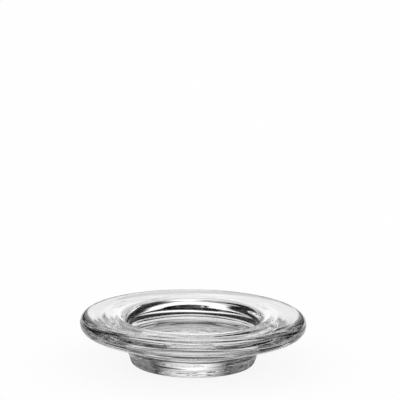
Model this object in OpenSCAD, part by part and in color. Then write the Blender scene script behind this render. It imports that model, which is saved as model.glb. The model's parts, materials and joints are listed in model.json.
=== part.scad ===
// Wine bottle coaster: one solid piece of clear, hand-worked glass.
// A heavy flared foot carries a wide flange with a thick, full-round rim, and the flange's top
// rolls over a soft lip into a shallow well.
// Origin at the middle of the foot's resting face, +Z up the axis. Millimetres.

/* [Overall] */
// Diameter over the rim
outer_d = 152; // [140:1:164]
// Height from the foot's resting face to the crown of the rim
total_h = 33.6; // [31:0.2:38]

/* [Rim] */
// Height of the rim's rounded section
rim_h = 11.8; // [9:0.2:13]
// Depth of the rim's rounded section, from its nose to its back
rim_w = 10.8; // [8:0.2:14]

/* [Flange] */
// Drop from the rim's crown to the flange's top
dish_depth = 1.1; // [0.3:0.1:2.5]
// Distance over which the rim's crown falls to the flange's top
dish_run = 7; // [4:0.5:10]

/* [Well] */
// Diameter of the well's straight wall
well_d = 88; // [82:1:92]
// Depth of the well's floor below the flange's top
well_depth = 12.4; // [10:0.2:15]
// Radius of the lip that rolls from the flange into the well
lip_r = 6.4; // [2:0.2:7]
// Radius in the corner between the well's wall and its floor
floor_r = 2; // [0.6:0.2:2.8]

/* [Foot] */
// Diameter of the foot, measured to the corner that its edge rounds off
foot_d = 83; // [72:1:88]
// Angle by which the foot's side leans out from upright
foot_flare = 20; // [8:1:26]
// Height of the corner between the foot's side and the flange's underside
foot_h = 13; // [11:0.5:15]
// Radius of the foot's bottom edge
foot_edge_r = 2; // [0.5:0.25:3]
// Radius of the hollow sweep from the foot's side to the flange's underside
waist_r = 8; // [3:0.5:10]

/* [Pontil mark] */
// Diameter of the polished hollow in the middle of the foot's face
pontil_d = 27; // [16:1:40]
// Depth of the polished hollow
pontil_depth = 1.8; // [0.6:0.1:3]

/* [Hidden] */

// Steps along a rounded corner, the dish and the pontil mark
arc_steps = 9;
// Steps along the rim's rounded section
rim_steps = 28;
// Steps round the axis
turn_steps = 180;

// Heights of the flange's top and the well's floor
flange_z = total_h - dish_depth;
floor_z = flange_z - well_depth;

// Centre of the rim's section, and its half width and half height
rim_a = rim_w / 2;
rim_b = rim_h / 2;
rim_c = [outer_d / 2 - rim_a, total_h - rim_b];

// Corner between the foot's side and the flange's underside, before the waist rounds it
waist = [foot_d / 2 + foot_h * tan(foot_flare), foot_h];

function unit(v) = v / norm(v);

// Point at an angle on the ellipse that bounds the rim's section
function rim_point(t) = rim_c + [rim_a * cos(t), rim_b * sin(t)];

// Angle at which a line from point p touches the underside of the rim's section.
// The ellipse is taken as the unit circle, where the touching radius is square to the line.
function rim_touch(p) =
    let (q = [(p.x - rim_c.x) / rim_a, (p.y - rim_c.y) / rim_b])
    atan2(q.y, q.x) + acos(1 / norm(q));

// Arc of radius r that rounds the corner b on the way from a to c
function rounded(a, b, c, r) =
    let (
        back = unit(a - b),
        ahead = unit(c - b),
        half = acos(back * ahead) / 2,
        centre = b + unit(back + ahead) * r / sin(half),
        from = b + back * r / tan(half) - centre,
        side = cross(back, ahead) > 0 ? -1 : 1,
        first = atan2(from.y, from.x),
        sweep = side * (180 - 2 * half)
    )
    [for (i = [0:arc_steps])
        let (t = first + sweep * i / arc_steps)
        centre + r * [cos(t), sin(t)]];

// Hollow of the pontil mark, from the axis out to the foot's face: an arc that is level on the axis
function pontil_mark() =
    let (
        half_d = pontil_d / 2,
        r = (half_d * half_d + pontil_depth * pontil_depth) / (2 * pontil_depth),
        reach = asin(half_d / r)
    )
    [for (i = [0:arc_steps])
        let (t = reach * i / arc_steps)
        [r * sin(t), pontil_depth - r * (1 - cos(t))]];

// Foot's rounded edge, and the waist that sweeps out under the flange
function foot_edge() = rounded([pontil_d / 2, 0], [foot_d / 2, 0], waist, foot_edge_r);
function waist_sweep() = rounded([foot_d / 2, 0], waist, rim_point(rim_touch(waist)), waist_r);

// Full round of the rim, from where the underside touches it, round the nose and up to the crown
function rim_round() =
    let (
        first = rim_touch(waist),
        crown = 90
    )
    [for (i = [0:rim_steps]) rim_point(first + (crown - first) * i / rim_steps)];

// Soft fall from the crown to the flange's top, level at both ends
function dish() = [for (i = [1:arc_steps])
    let (share = i / arc_steps)
    [rim_c.x - dish_run * share, total_h - dish_depth * (1 - cos(180 * share)) / 2]];

// Lip of the well, its straight wall, and the corner of its floor
function well_lip() = rounded([rim_c.x, flange_z], [well_d / 2, flange_z], [well_d / 2, floor_z], lip_r);
function well_corner() = rounded([well_d / 2, flange_z], [well_d / 2, floor_z], [0, floor_z], floor_r);

// Half section of the glass, from the axis under the foot round to the axis on the well's floor
module half_section() {
    polygon(concat(
        pontil_mark(),
        foot_edge(),
        waist_sweep(),
        rim_round(),
        dish(),
        well_lip(),
        well_corner(),
        [[0, floor_z]]
    ));
}

module glass_coaster() {
    color([0.88, 0.92, 0.92, 0.5])
        rotate_extrude($fn = turn_steps)
            half_section();
}

glass_coaster();
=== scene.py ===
"""Wine bottle coaster of clear glass, worked by hand, on a bright studio table.

The coaster is one surface: a half section carried round the axis, with the slow sway and the fine
drawn lines that hand work leaves in hot glass. Everything is in metres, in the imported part's frame.
"""
import json
import math

import bpy
import numpy as np
from bpy.props import FloatProperty, FloatVectorProperty, IntProperty, PointerProperty
from bpy.types import Operator, Panel, PropertyGroup
from mathutils import Matrix, Vector


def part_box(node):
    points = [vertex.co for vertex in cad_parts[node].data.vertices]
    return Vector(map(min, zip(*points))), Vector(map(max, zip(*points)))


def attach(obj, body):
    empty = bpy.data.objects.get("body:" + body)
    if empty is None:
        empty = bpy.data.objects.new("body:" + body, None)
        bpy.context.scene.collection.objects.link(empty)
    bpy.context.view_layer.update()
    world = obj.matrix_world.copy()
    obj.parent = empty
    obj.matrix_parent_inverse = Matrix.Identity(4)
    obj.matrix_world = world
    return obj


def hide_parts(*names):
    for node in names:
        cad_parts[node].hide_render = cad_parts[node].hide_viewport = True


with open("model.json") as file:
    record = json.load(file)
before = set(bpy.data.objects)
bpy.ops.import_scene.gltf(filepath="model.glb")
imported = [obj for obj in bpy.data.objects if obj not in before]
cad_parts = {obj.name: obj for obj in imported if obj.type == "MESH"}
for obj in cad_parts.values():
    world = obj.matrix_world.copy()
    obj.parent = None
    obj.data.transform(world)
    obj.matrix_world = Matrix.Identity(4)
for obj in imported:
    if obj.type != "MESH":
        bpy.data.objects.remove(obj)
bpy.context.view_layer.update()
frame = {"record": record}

bl_info = {
    "name": "Glass Bottle Coaster",
    "version": (1, 0, 0),
    "blender": (4, 5, 0),
    "location": "View3D > Sidebar > Coaster",
    "description": "A hand-worked clear glass coaster and the bright table it is shown on",
    "category": "Add Mesh",
}

NODE = "glass_coaster"
BODY = "root"
MM = 0.001

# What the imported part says: its box, the well's floor and the well's straight wall
RIM_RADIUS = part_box(NODE)[1][0]
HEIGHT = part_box(NODE)[1][2]
MOUNTS = {mount["name"]: mount for mount in frame["record"]["mounts"]}
FLOOR_HEIGHT = MOUNTS["well_floor"]["pos_m"][2]
WELL_RADIUS = MOUNTS["bottle_well"]["dims"]["r_mm"] * MM
WALL_TOP = MOUNTS["bottle_well"]["pos_m"][2] + MOUNTS["bottle_well"]["dims"]["length_mm"] * MM / 2

# Points along one arc of the section and along the rim's round
ARC_POINTS = 24
RIM_POINTS = 3 * ARC_POINTS
# Where the Gaussian that softens the corners is cut off, in its own widths
GAUSS_REACH = 4
# How far in from the foot's edge the rings begin to close up, and how far in they are at their closest
SPARSE_IN = 8 * MM
DENSE_IN = 4 * MM

# Marked places that the form has no size for. The foot's side, the waist and the underside lie so far
# out from the foot's edge and so high, the rim's underside so far in from the rim's nose and so high,
# and the lip so far out from the well's wall
SIDE_OUT = 2 * MM
SIDE_UP = 5 * MM
WAIST_OUT = 5 * MM
UNDER_OUT = 14 * MM
UNDER_UP = 17 * MM
RIM_UNDER_IN = 8 * MM
RIM_UNDER_UP = 20 * MM
LIP_OUT = 3 * MM

# Ranges from which a wave train is drawn: its length next to the usual one, how many times its phase
# climbs round the axis, how far and how many times the phase sways on the way, and on how many sides
# the train is strong. A range of whole numbers leaves out its end
TRAIN_SIZE = (0.6, 1.8)
TRAIN_CLIMBS = (-2, 3)
TRAIN_SWAY = (0.0, 2.0)
TRAIN_BENDS = (1, 4)
TRAIN_SIDES = (1, 3)
# Mean strength of a train, and how far it swings round the axis
TRAIN_MEAN = 0.75
TRAIN_SWING = 0.6
# How far the marks are sunk, next to their height, so that they hardly rise above the true section
MARKS_SUNK = 1.8

# The rim's dip: its mean as a share of the sway, the heading of its high side and how high that is,
# and the strength and phase of a smaller swing that comes twice round the axis
DIP_MEAN = 0.5
HIGH_SIDE = math.radians(118)
HIGH_SHARE = 0.55
TWICE_SHARE = 0.3
TWICE_PHASE = 1.0

# How far the cords' noise moves with the heading, for a metre outwards, for a metre upwards, and from
# one quarter of the circle to the next, and then its detail and roughness
CORDS_ROUND = 2.2
CORDS_OUT = 330.0
CORDS_UP = 410.0
CORDS_QUARTER = 1.5
CORDS_DETAIL = 2.5
CORDS_ROUGHNESS = 0.6
# Heights between which the foot's wear ends, and radii between which it begins
WORN_UP_TO = (0.05 * MM, 0.5 * MM)
WORN_FROM = (28 * MM, 34 * MM)
# The wear's specks: their scale and detail, and the noise between which they rise
SPECKS_SCALE = 900.0
SPECKS_DETAIL = 3.0
SPECKS_RISE = (0.35, 0.75)

# Gap between the foot's face and the table, so that the two never share a plane
TABLE_GAP = 0.1 * MM
# Angle between a main window's middle and that of the dim one beside it
WINDOW_APART = math.pi / 4
# Width of the camera's picture plane, in millimetres as the lens is
SENSOR_WIDTH = 36.0


def length(name, default, description):
    """A size in metres for a property group."""
    return FloatProperty(name=name, description=description, default=default, unit="LENGTH")


def angle(name, default, description):
    """An angle, given in degrees and kept in radians, for a property group."""
    default = math.radians(default)
    return FloatProperty(name=name, description=description, default=default, subtype="ANGLE")


def number(name, default, description):
    """A plain number for a property group."""
    return FloatProperty(name=name, description=description, default=default)


def whole(name, default, description):
    """A whole number for a property group."""
    return IntProperty(name=name, description=description, default=default)


def place_strengths(name, default, description):
    """A strength for each marked place along the section, for a property group."""
    return FloatVectorProperty(name=name, description=description, size=len(default), default=default)


class CoasterForm(PropertyGroup):
    """Sizes of the glass section that the frame doesn't give."""

    rim_height: length("Rim height", 0.0118, "Height of the rim's rounded section")
    rim_depth: length("Rim depth", 0.0108, "Depth of the rim's rounded section")
    dish_drop: length("Dish drop", 0.0011, "Drop from the rim's crown to the flange's top")
    dish_run: length("Dish run", 0.007, "Distance over which the crown falls to the flange's top")
    floor_corner: length("Floor corner", 0.002, "Radius between the well's wall and floor")
    foot_radius: length("Foot radius", 0.0415, "Radius of the foot at its face")
    foot_flare: angle("Foot flare", 20.0, "Lean of the foot's side from upright")
    foot_height: length("Foot height", 0.013, "Height of the corner under the flange")
    foot_edge: length("Foot edge", 0.002, "Radius of the foot's bottom edge")
    waist: length("Waist", 0.008, "Radius of the sweep under the flange")
    pontil_radius: length("Pontil radius", 0.0135, "Radius of the polished hollow in the foot")
    pontil_depth: length("Pontil depth", 0.0018, "Depth of the polished hollow in the foot")


class CoasterHandwork(PropertyGroup):
    """What the hand leaves in the glass, and how finely it is drawn."""

    sway: length("Sway", 0.0008, "About how far the rim dips on its low side")
    melt: length("Melt", 0.0005, "Length over which the fire softens a corner")
    wave_height: length("Wave height", 0.0001, "Height of the broad waves left by shaping")
    wave_gap: length("Wave gap", 0.007, "Usual distance between two broad waves")
    line_height: length("Line height", 4e-06, "Height of the fine lines drawn by the tools")
    line_gap: length("Line gap", 0.0022, "Usual distance between two fine lines")
    waves_along: place_strengths(
        "Waves along the section", (0.0, 0.0, 2.2, 1.2, 0.4, 0.1, 0.1, 0.2, 2.0, 1.5, 0.5, 0.3, 0.2),
        "Strength of the broad waves at each marked place")
    lines_along: place_strengths(
        "Lines along the section", (0.0, 0.0, 5.0, 4.0, 1.0, 0.3, 0.1, 0.3, 2.0, 5.0, 0.5, 0.5, 0.2),
        "Strength of the fine lines at each marked place")
    trains: whole("Wave trains", 22, "How many wave trains make each kind of mark")
    seed: whole("Seed", 19, "Which hand-made copy this is")
    fine_steps: whole("Fine steps", 4000, "Points of the section while it is worked out")
    flat_share: number("Flat share", 0.4, "Density of the rings on the flat faces, next to 1 elsewhere")
    rings: whole("Rings", 490, "Points along the half section")
    turns: whole("Turns", 200, "Points round the axis")


class CoasterGlass(PropertyGroup):
    """The metal of the glass and its surface."""

    tint: FloatVectorProperty(name="Tint", description="Colour of the clear glass", subtype="COLOR",
                              default=(0.985, 0.987, 0.993))
    bend: number("Refraction", 1.5, "Index of refraction")
    gloss: number("Roughness", 0.0, "Roughness of the fire-polished surface")
    wear: number("Foot wear", 0.12, "Roughness of the ring that the foot stands on")
    cord_height: length("Cord height", 5e-07, "Depth of the fine cords in the surface")
    smoke: number("Smoke", 1.3, "Light that the metal takes away along one metre, as an exponent")


class CoasterStudio(PropertyGroup):
    """The pale table with painted shade, the dark room that the glass sees and its soft lights."""

    table_half: length("Table half width", 6.0, "Half width of the table")
    table_tone: number("Table tone", 0.95, "Paleness of the matt table that takes the light")
    shadow: number("Shadow", 0.12, "Share of the coaster's shadow that the white table keeps")
    # Radii and tones of the painted shade and light that reflections and glass see on the table
    middle_from: length("Middle from", 0.01, "Radius at which the pale middle begins to darken")
    under_from: length("Under from", 0.038, "Radius at which the deepest shade is reached")
    under_to: length("Under to", 0.0425, "Radius at which the deepest shade ends, at the foot's edge")
    near_from: length("Near from", 0.054, "Radius at which the pale ring round the foot is reached")
    wide_from: length("Wide from", 0.066, "Radius at which the pale ring round the foot begins to fade")
    wide_to: length("Wide to", 0.09, "Radius at which the soft shade round the coaster is reached")
    white_from: length("White from", 0.2, "Radius at which the soft shade begins to fade")
    white_to: length("White to", 0.4, "Radius from which the table is as white as for the eye")
    middle_tone: number("Middle tone", 0.62, "Paleness of the table's middle, as the glass sees it")
    under_tone: number("Under tone", 0.06, "Paleness of the deepest shade, under the foot's edge")
    near_tone: number("Near tone", 0.95, "Paleness of the ring round the foot, where light gathers")
    wide_tone: number("Wide tone", 0.76, "Paleness of the soft shade round the coaster")
    backdrop_high: angle("Backdrop height", 2.0, "Height to which the white backdrop rises")
    backdrop_soft: angle("Backdrop soft edge", 0.8, "Half the height over which the backdrop fades")
    dark: number("Room", 0.011, "How much light the dark parts of the room give")
    window_low: angle("Window foot", 7.0, "Height of the main windows' lower edge above the horizon")
    window_high: angle("Window head", 31.0, "Height of the main windows' upper edge")
    window_soft: angle("Window soft edge", 1.2, "Half the height over which all windows' edges fade")
    window_half: angle("Window half width", 15.0, "Half width of each main window")
    window_fade: angle("Window side fade", 14.0, "Half the width over which its sides fade")
    window_light: number("Window light", 1.3, "How bright the main windows are")
    flank: number("Flank share", 0.5, "Share of the light that the windows to the left and right give")
    flank_from: angle("Flank from", 35.0, "Heading from the front or back where that share begins")
    flank_to: angle("Flank to", 60.0, "Heading from the front or back where it is reached")
    side_low: angle("Side window foot", 8.4, "Height of the dim windows' lower edge")
    side_high: angle("Side window head", 33.0, "Height of the dim windows' upper edge")
    side_half: angle("Side window half width", 16.0, "Half width of the dim windows between them")
    side_soft: angle("Side window soft edge", 3.0, "Half the width over which a dim window's sides fade")
    side_light: number("Side window light", 0.235, "How bright the dim windows are")
    ceiling_edge: angle("Ceiling edge", 62.0, "Height at which the ceiling light begins")
    ceiling_soft: angle("Ceiling soft edge", 4.0, "Half the height over which the ceiling light fades")
    ceiling_light: number("Ceiling light", 1.28, "How bright the ceiling light is")


class CoasterView(PropertyGroup):
    """The camera that sees the coaster as the photograph does."""

    lens: number("Lens", 144.0, "Focal length in millimetres")
    pitch: angle("Pitch", 9.91, "How far the camera looks down")
    roll: angle("Roll", 0.77, "Lean of the camera, which lowers the picture's right side")
    distance: length("Distance", 1.0614, "From the camera to the point above the coaster that it faces")
    aim_height: length("Aim height", 0.1106, "Height of that point")
    aim_side: length("Aim side", 0.0035, "How far that point lies to the right of the axis")


class CoasterSettings(PropertyGroup):
    """All the settings of the coaster and its picture."""

    form: PointerProperty(type=CoasterForm, name="Form", description="Sizes of the glass section")
    hand: PointerProperty(type=CoasterHandwork, name="Handwork", description="Marks of the hand")
    glass: PointerProperty(type=CoasterGlass, name="Glass", description="Finish of the glass")
    studio: PointerProperty(type=CoasterStudio, name="Studio", description="Table and lights")
    view: PointerProperty(type=CoasterView, name="View", description="Camera")


class Shade:
    """A socket in a shader sum. Each operator adds the Math node that works it out."""

    def __init__(self, graph, socket):
        self.graph = graph
        self.socket = socket

    def __add__(self, other):
        return self.graph.math("ADD", self, other)

    def __sub__(self, other):
        return self.graph.math("SUBTRACT", self, other)

    def __rsub__(self, other):
        return self.graph.math("SUBTRACT", other, self)

    def __mul__(self, other):
        return self.graph.math("MULTIPLY", self, other)

    def __truediv__(self, other):
        return self.graph.math("DIVIDE", self, other)

    def __rtruediv__(self, other):
        return self.graph.math("DIVIDE", other, self)

    __radd__ = __add__
    __rmul__ = __mul__


class Graph:
    """Builds the nodes of one material or world, in place of those it came with."""

    def __init__(self, owner):
        owner.use_nodes = True
        self.tree = owner.node_tree
        self.tree.nodes.clear()

    def node(self, kind, settings=None, **inputs):
        """Adds a node of a type. Its settings are set first, then the values or links of its sockets.

        A socket is named by its words with underscores, or as in_N by its number."""
        node = self.tree.nodes.new("ShaderNode" + kind)
        for name, value in (settings or {}).items():
            setattr(node, name, value)
        for name, value in inputs.items():
            key = int(name[3:]) if name.startswith("in_") else name.replace("_", " ")
            self.feed(node.inputs[key], value)
        return node

    def feed(self, socket, value):
        """Links a socket to what feeds it, or sets its value."""
        if isinstance(value, Shade):
            self.tree.links.new(value.socket, socket)
        elif isinstance(value, bpy.types.NodeSocket):
            self.tree.links.new(value, socket)
        else:
            socket.default_value = value

    def out(self, node, name=0):
        """Wraps a node's output."""
        return Shade(self, node.outputs[name])

    def math(self, operation, *values):
        """Adds one Math node."""
        sockets = {f"in_{place}": value for place, value in enumerate(values)}
        return self.out(self.node("Math", {"operation": operation}, **sockets))

    def axes(self, vector):
        """The three numbers of a vector."""
        split = self.node("SeparateXYZ", in_0=vector)
        return [self.out(split, axis) for axis in range(3)]

    def size(self, vector):
        """Length of a vector."""
        return self.out(self.node("VectorMath", {"operation": "LENGTH"}, in_0=vector), "Value")

    def rise(self, value, low, high):
        """Smooth step from 0 at low to 1 at high."""
        node = self.node("MapRange", {"interpolation_type": "SMOOTHSTEP"},
                         Value=value, From_Min=low, From_Max=high)
        return self.out(node)

    def edge(self, value, place, soft):
        """Smooth step over a soft edge, which reaches as far below its place as above it."""
        return self.rise(value, place - soft, place + soft)

    def within(self, light, value, low, high, soft):
        """Light that is kept only between two soft edges."""
        return light * self.edge(value, low, soft) * (1 - self.edge(value, high, soft))


def grey(value):
    """A neutral colour."""
    return (value, value, value, 1.0)


def rounded(before, corner, after, radius):
    """Arc that rounds a corner: its centre lies on the bisector, one radius from both legs."""
    before, corner, after = (np.array(point, float) for point in (before, corner, after))
    back = (before - corner) / np.linalg.norm(before - corner)
    ahead = (after - corner) / np.linalg.norm(after - corner)
    half = math.acos(float(back @ ahead)) / 2
    centre = corner + (back + ahead) / np.linalg.norm(back + ahead) * radius / math.sin(half)
    start = corner + back * radius / math.tan(half) - centre
    turning = -1.0 if back[0] * ahead[1] - back[1] * ahead[0] > 0 else 1.0
    sweep = turning * (math.pi - 2 * half) * np.linspace(0, 1, ARC_POINTS)
    angles = math.atan2(start[1], start[0]) + sweep
    return centre + radius * np.stack([np.cos(angles), np.sin(angles)], axis=1)


def section_outline(form):
    """Half section of the glass from the axis under the foot, round the rim, to the axis in the well.

    Straight legs are joined by arcs, the rim is part of an ellipse that the underside touches, the
    pontil mark is an arc that is level on the axis, and the dish falls by half a cosine."""
    flange = HEIGHT - form.dish_drop
    half_size = np.array([form.rim_depth, form.rim_height]) / 2
    centre = np.array([RIM_RADIUS, HEIGHT]) - half_size
    waist = (form.foot_radius + form.foot_height * math.tan(form.foot_flare), form.foot_height)
    seen = (np.array(waist) - centre) / half_size
    touch = math.atan2(seen[1], seen[0]) + math.acos(1 / np.linalg.norm(seen))
    rim_angles = np.linspace(touch, math.pi / 2, RIM_POINTS)
    rim = centre + half_size * np.stack([np.cos(rim_angles), np.sin(rim_angles)], axis=1)
    ball = (form.pontil_radius**2 + form.pontil_depth**2) / (2 * form.pontil_depth)
    pontil_angles = np.linspace(0, math.asin(form.pontil_radius / ball), ARC_POINTS)
    pontil = np.stack([ball * np.sin(pontil_angles),
                       form.pontil_depth - ball * (1 - np.cos(pontil_angles))], axis=1)
    fall = np.linspace(0, 1, ARC_POINTS)[1:]
    dish = np.stack([centre[0] - form.dish_run * fall,
                     HEIGHT - form.dish_drop * (1 - np.cos(math.pi * fall)) / 2], axis=1)
    foot_corner = (form.foot_radius, 0.0)
    lip_corner = (WELL_RADIUS, flange)
    floor_corner = (WELL_RADIUS, FLOOR_HEIGHT)
    return np.concatenate([
        pontil,
        rounded((form.pontil_radius, 0.0), foot_corner, waist, form.foot_edge),
        rounded(foot_corner, waist, rim[0], form.waist),
        rim,
        dish,
        rounded((centre[0], flange), lip_corner, floor_corner, flange - WALL_TOP),
        rounded(lip_corner, floor_corner, (0.0, FLOOR_HEIGHT), form.floor_corner),
        [(0.0, FLOOR_HEIGHT)],
    ])


def running_sum(steps):
    """Sum of the steps up to each one, from 0 before the first."""
    return np.concatenate([[0.0], np.cumsum(steps)])


def along(points):
    """Distance along a line of points, from its first to each one."""
    return running_sum(np.linalg.norm(np.diff(points, axis=0), axis=1))


def points_at(points, reach, places):
    """Points of a line at given distances along it, on the straight steps between its own."""
    return np.stack([np.interp(places, reach, points[:, axis]) for axis in (0, 1)], axis=1)


def smooth_step(value, low, high):
    """Smooth rise from 0 at low to 1 at high: three times the share's square less twice its cube."""
    share = np.clip((value - low) / (high - low), 0, 1)
    return share * share * (3 - 2 * share)


def melted(points, count, width):
    """Section with even steps and its corners softened by a Gaussian of the given width.

    Past each end the section is carried on by its mirror image in the axis, so both ends stay on it."""
    reach = along(points)
    line = points_at(points, reach, np.linspace(0, reach[-1], count))
    gap = reach[-1] / (count - 1)
    span = int(GAUSS_REACH * width / gap) + 1
    weights = np.exp(-0.5 * (np.arange(-span, span + 1) * gap / width) ** 2)
    weights /= weights.sum()
    mirror = np.array([-1.0, 1.0])
    longer = np.concatenate([line[span:0:-1] * mirror, line, line[-2:-span - 2:-1] * mirror])
    soft = np.stack([np.convolve(longer[:, axis], weights, mode="valid") for axis in (0, 1)], axis=1)
    soft[[0, -1], 0] = 0.0
    return soft


def spaced(section, count, flat_share, sparse_to, dense_from):
    """The same section in fewer points, which are sparse on the flat faces near the axis.

    The points' density rises from flat_share inside the radius sparse_to to 1 outside dense_from, and
    each point lies where the density's running sum reaches an even share of the whole."""
    reach = along(section)
    density = flat_share + (1 - flat_share) * smooth_step(section[:, 0], sparse_to, dense_from)
    total = running_sum((density[1:] + density[:-1]) / 2 * np.diff(reach))
    return points_at(section, reach, np.interp(np.linspace(0, total[-1], count), total, reach))


def wave_trains(reach, turn, gap, count, draw):
    """Height of the marks that turning tools leave round the glass, about 1 high.

    Sum of wave trains along the section. Each has its own length, and its phase climbs a whole number
    of times round the axis and sways on the way, so that the marks climb, part and meet but close on
    themselves. Each is strong on one or two sides of the axis and faint between."""
    height = np.zeros(np.broadcast_shapes(reach.shape, turn.shape))
    for _ in range(count):
        size = draw.uniform(*TRAIN_SIZE)
        climbs = draw.integers(*TRAIN_CLIMBS)
        sway = draw.uniform(*TRAIN_SWAY) * np.sin(
            draw.integers(*TRAIN_BENDS) * turn + draw.uniform(0, math.tau))
        phase = climbs * turn + sway + draw.uniform(0, math.tau)
        share = TRAIN_MEAN + TRAIN_SWING * np.cos(
            draw.integers(*TRAIN_SIDES) * turn + draw.uniform(0, math.tau))
        height += size * share * np.sin(math.tau * reach / (size * gap) + phase)
    return height / math.sqrt(count)


def marked_places(form):
    """Radius and height of the places along the section between which the marks grow or fade.

    In order: pontil's edge, foot's edge, foot's side, waist, underside, rim's underside, rim's nose,
    crown, flange's top, lip, wall, floor's corner and floor's middle."""
    return np.array([
        (form.pontil_radius, 0.0),
        (form.foot_radius - form.foot_edge, 0.0),
        (form.foot_radius + SIDE_OUT, SIDE_UP),
        (form.foot_radius + WAIST_OUT, form.foot_height),
        (form.foot_radius + UNDER_OUT, UNDER_UP),
        (RIM_RADIUS - RIM_UNDER_IN, RIM_UNDER_UP),
        (RIM_RADIUS, HEIGHT - form.rim_height / 2),
        (RIM_RADIUS - form.rim_depth / 2, HEIGHT),
        ((RIM_RADIUS + WELL_RADIUS) / 2, HEIGHT - form.dish_drop),
        (WELL_RADIUS + LIP_OUT, HEIGHT - 2 * form.dish_drop),
        (WELL_RADIUS, WALL_TOP),
        (WELL_RADIUS - 2 * form.floor_corner, FLOOR_HEIGHT),
        (0.0, FLOOR_HEIGHT),
    ])


def strength_along(section, reach, places, strengths):
    """Strength of a mark along the section, read off between its points nearest the marked places."""
    apart = np.linalg.norm(section[:, None] - places[None], axis=2)
    return np.interp(reach, reach[apart.argmin(axis=0)], strengths)[:, None]


def glass_surface(form, hand):
    """Grid of points of the glass: rows along the half section, columns round the axis.

    The melted section is turned about the axis, sunk along its own normal by the broad waves and the
    fine lines, lowered towards the rim by a slow sway, and kept from going below the table."""
    draw = np.random.default_rng(hand.seed)
    section = melted(section_outline(form), hand.fine_steps, hand.melt)
    section = spaced(section, hand.rings, hand.flat_share, form.foot_radius - SPARSE_IN,
                     form.foot_radius - DENSE_IN)
    reach = along(section)
    turn = (np.arange(hand.turns) * math.tau / hand.turns)[None, :]
    tangent = np.gradient(section, axis=0)
    tangent /= np.linalg.norm(tangent, axis=1, keepdims=True)
    radius, height = section[:, :1], section[:, 1:]
    outward_r, outward_z = tangent[:, 1:], -tangent[:, :1]
    places = marked_places(form)
    marks = 0.0
    for size, gap, strengths in ((hand.wave_height, hand.wave_gap, hand.waves_along),
                                 (hand.line_height, hand.line_gap, hand.lines_along)):
        sunk = wave_trains(reach[:, None], turn, gap, hand.trains, draw) - MARKS_SUNK
        marks = marks + size * strength_along(section, reach, places, strengths) * sunk
    low = 1 - HIGH_SHARE * np.cos(turn - HIGH_SIDE) - TWICE_SHARE * np.cos(2 * turn - TWICE_PHASE)
    dip = hand.sway * DIP_MEAN * low * smooth_step(radius, WELL_RADIUS, RIM_RADIUS)
    radius = radius + marks * outward_r
    height = np.maximum(height + marks * outward_z - dip, 0.0)
    return np.stack([radius * np.cos(turn), radius * np.sin(turn), height], axis=2)


def closed_mesh(name, grid):
    """Mesh of a grid that closes round its columns, with one pole point in place of each end row."""
    rows, columns = grid.shape[0] - 2, grid.shape[1]
    first, last = grid[0, :1], grid[-1, :1]
    points = np.concatenate([grid[1:-1].reshape(-1, 3), first, last])
    row = np.arange(rows - 1)[:, None] * columns
    here = np.arange(columns)[None, :]
    beside = (here + 1) % columns
    quads = np.stack([row + here, row + beside, row + columns + beside, row + columns + here], axis=2)
    start, end = rows * columns, rows * columns + 1
    ring = (rows - 1) * columns
    caps = np.concatenate([
        np.stack([np.full(columns, start), beside[0], here[0]], axis=1),
        np.stack([np.full(columns, end), ring + here[0], ring + beside[0]], axis=1),
    ])
    mesh = bpy.data.meshes.new(name)
    mesh.from_pydata(points.tolist(), [], quads.reshape(-1, 4).tolist() + caps.tolist())
    mesh.shade_smooth()
    mesh.update()
    return mesh


def add_object(name, data):
    """Puts a mesh or a camera into the scene, at the origin."""
    thing = bpy.data.objects.new(name, data)
    bpy.context.scene.collection.objects.link(thing)
    return thing


def glass_finish(glass):
    """Clear fire-polished glass with fine cords round it and a worn ring where the foot stands.

    The cords are noise that changes slowly with the heading and fast outwards and upwards. The wear
    is noise too, on the part of the foot's face that touches the table."""
    material = bpy.data.materials.new("clear worked glass")
    graph = Graph(material)
    place = graph.node("TexCoord").outputs["Object"]
    x, y, z = graph.axes(place)
    radius = graph.size(graph.node("CombineXYZ", X=x, Y=y).outputs[0])
    round_x, round_y = x / radius, y / radius
    cords_at = graph.node("CombineXYZ", X=round_x * CORDS_ROUND + radius * CORDS_OUT,
                          Y=round_y * CORDS_ROUND + z * CORDS_UP, Z=round_x * round_y * CORDS_QUARTER)
    cords = graph.node("TexNoise", Vector=cords_at.outputs[0], Scale=1.0, Detail=CORDS_DETAIL,
                       Roughness=CORDS_ROUGHNESS)
    bump = graph.node("Bump", Strength=1.0, Distance=glass.cord_height, Height=cords.outputs[0])
    specks = graph.node("TexNoise", Vector=place, Scale=SPECKS_SCALE, Detail=SPECKS_DETAIL)
    worn = (1 - graph.rise(z, *WORN_UP_TO)) * graph.rise(radius, *WORN_FROM)
    rough = worn * graph.rise(graph.out(specks), *SPECKS_RISE) * glass.wear + glass.gloss
    shader = graph.node("BsdfPrincipled", Base_Color=(*glass.tint, 1.0), Roughness=rough,
                        IOR=glass.bend, Normal=bump.outputs[0], Transmission_Weight=1.0)
    metal = graph.node("VolumeAbsorption", Color=grey(0.0), Density=glass.smoke)
    graph.node("OutputMaterial", Surface=shader.outputs[0], Volume=metal.outputs[0])
    return material


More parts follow.
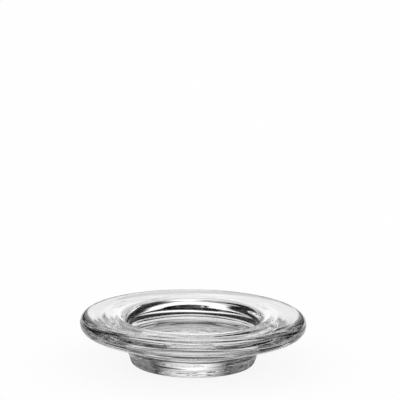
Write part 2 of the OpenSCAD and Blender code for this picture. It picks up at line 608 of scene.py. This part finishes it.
def table_with_painted_shade(studio):
    """White table that keeps a share of the coaster's shadow, and painted shade that glass sees.

    Light falls on a matt surface, and the eye sees white with a share of it. Reflections and the
    view through glass show only painted shade and light: an emission tone set by the radius, pale
    in the middle, deep under the foot's edge, pale close round the foot, soft round the coaster and
    plain white farther out."""
    material = bpy.data.materials.new("white table")
    graph = Graph(material)
    radius = graph.size(graph.node("TexCoord").outputs["Object"])
    under = graph.rise(radius, studio.middle_from, studio.under_from)
    near = graph.rise(radius, studio.under_to, studio.near_from)
    wide = graph.rise(radius, studio.wide_from, studio.wide_to)
    white = graph.rise(radius, studio.white_from, studio.white_to)
    # Painted shade and light: the tone that reflections and glass see, set by the radius alone
    shade = studio.middle_tone - under * (studio.middle_tone - studio.under_tone)
    shade = shade + near * (studio.near_tone - studio.under_tone)
    shade = shade + wide * (studio.wide_tone - studio.near_tone) + white * (1 - studio.wide_tone)
    path = graph.node("LightPath")
    eye = graph.out(path, "Is Camera Ray")
    bent = graph.math("MAXIMUM", graph.out(path, "Is Glossy Ray"),
                      graph.out(path, "Is Transmission Ray"))
    matt = graph.node("BsdfDiffuse", Color=grey(studio.table_tone))
    # The eye sees plain white here, glossy and transmission rays see the painted shade
    white_and_painted_shade = graph.node("Emission", Color=shade * (1 - eye) + eye, Strength=1.0)
    mix = graph.node("MixShader", in_0=eye * (1 - studio.shadow) + bent,
                     in_1=matt.outputs[0], in_2=white_and_painted_shade.outputs[0])
    graph.node("OutputMaterial", Surface=mix.outputs[0])
    return material


def room(studio):
    """World: a low white backdrop all round, and over it a dark room with soft lights.

    Four low, wide windows stand round the table, those to the left and right dimmer, with a dim one
    between each two, and a soft light fills the ceiling. A ray's direction gives its height above the
    horizon, its heading, and how far it points aside from the nearest main window, and each light is
    a product of smooth steps in these. The eye and diffuse rays see plain white all over."""
    world = bpy.data.worlds.new("bright studio")
    graph = Graph(world)
    x, y, z = graph.axes(graph.node("TexCoord").outputs["Generated"])
    rise = graph.math("ARCSINE", z)
    heading = graph.math("ARCTAN2", x, y)
    aside = graph.math("PINGPONG", heading, WINDOW_APART)
    flank = graph.rise(graph.math("PINGPONG", heading, 2 * WINDOW_APART), studio.flank_from,
                       studio.flank_to)
    backdrop = 1 - graph.edge(rise, studio.backdrop_high, studio.backdrop_soft)
    windows = (1 - graph.edge(aside, studio.window_half, studio.window_fade)) * studio.window_light
    windows = graph.within(windows, rise, studio.window_low, studio.window_high, studio.window_soft)
    windows = windows * (1 - flank * (1 - studio.flank))
    dim = graph.edge(aside, WINDOW_APART - studio.side_half, studio.side_soft) * studio.side_light
    dim = graph.within(dim, rise, studio.side_low, studio.side_high, studio.window_soft)
    ceiling = graph.edge(rise, studio.ceiling_edge, studio.ceiling_soft) * studio.ceiling_light
    light = graph.math("MAXIMUM", backdrop, windows + dim + ceiling + studio.dark)
    path = graph.node("LightPath")
    plain = graph.math("MAXIMUM", graph.out(path, "Is Camera Ray"), graph.out(path, "Is Diffuse Ray"))
    background = graph.node("Background", Color=light * (1 - plain) + plain, Strength=1.0)
    graph.node("OutputWorld", Surface=background.outputs[0])
    return world


def place_camera(camera, view):
    """Stands the camera back from its aim along its own line of sight, then leans it."""
    camera.data.sensor_width = SENSOR_WIDTH
    camera.data.lens = view.lens
    ahead = Vector((0, math.cos(view.pitch), -math.sin(view.pitch)))
    aim = Vector((view.aim_side, 0, view.aim_height))
    turn = ahead.to_track_quat("-Z", "Y").to_matrix() @ Matrix.Rotation(view.roll, 3, "Z")
    camera.matrix_world = Matrix.LocRotScale(aim - ahead * view.distance, turn, None)


class COASTER_OT_glass(Operator):
    """Make the glass coaster: foot, waist, flange, rim and well in one worked surface"""

    bl_idname = "coaster.glass"
    bl_label = "Glass coaster"

    def execute(self, context):
        settings = context.scene.coaster
        mesh = closed_mesh("worked_glass", glass_surface(settings.form, settings.hand))
        mesh.materials.append(glass_finish(settings.glass))
        glass = add_object("worked_glass", mesh)
        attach(glass, BODY)
        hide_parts(NODE)
        return {"FINISHED"}


class COASTER_OT_stage(Operator):
    """Set the pale table, the room and its lights, and the camera"""

    bl_idname = "coaster.stage"
    bl_label = "Table, lights and camera"

    def execute(self, context):
        scene, settings = context.scene, context.scene.coaster
        half = settings.studio.table_half
        corners = [(-half, -half, 0), (half, -half, 0), (half, half, 0), (-half, half, 0)]
        mesh = bpy.data.meshes.new("table")
        mesh.from_pydata(corners, [], [(0, 1, 2, 3)])
        mesh.materials.append(table_with_painted_shade(settings.studio))
        table = add_object("table", mesh)
        table.location.z = -TABLE_GAP
        scene.world = room(settings.studio)
        scene.view_settings.view_transform = "Standard"
        scene.camera = add_object("camera", bpy.data.cameras.new("camera"))
        place_camera(scene.camera, settings.view)
        return {"FINISHED"}


class COASTER_PT_panel(Panel):
    """Lists the coaster's pieces and settings"""

    bl_idname = "COASTER_PT_panel"
    bl_label = "Glass bottle coaster"
    bl_space_type = "VIEW_3D"
    bl_region_type = "UI"
    bl_category = "Coaster"

    def draw(self, context):
        settings = context.scene.coaster
        self.layout.operator(COASTER_OT_glass.bl_idname)
        self.layout.operator(COASTER_OT_stage.bl_idname)
        for group in (settings.form, settings.hand, settings.glass, settings.studio, settings.view):
            box = self.layout.box()
            for name in group.__annotations__:
                box.prop(group, name)


CLASSES = (
    CoasterForm, CoasterHandwork, CoasterGlass, CoasterStudio, CoasterView, CoasterSettings,
    COASTER_OT_glass, COASTER_OT_stage, COASTER_PT_panel,
)


def register():
    """Adds the classes, and their settings to every scene."""
    for kind in CLASSES:
        bpy.utils.register_class(kind)
    bpy.types.Scene.coaster = PointerProperty(type=CoasterSettings)


def unregister():
    """Takes them out again, the last one first."""
    del bpy.types.Scene.coaster
    for kind in reversed(CLASSES):
        bpy.utils.unregister_class(kind)


def main():
    """Builds the coaster and its stage."""
    register()
    bpy.ops.coaster.glass()
    bpy.ops.coaster.stage()


if __name__ == "__main__":
    main()
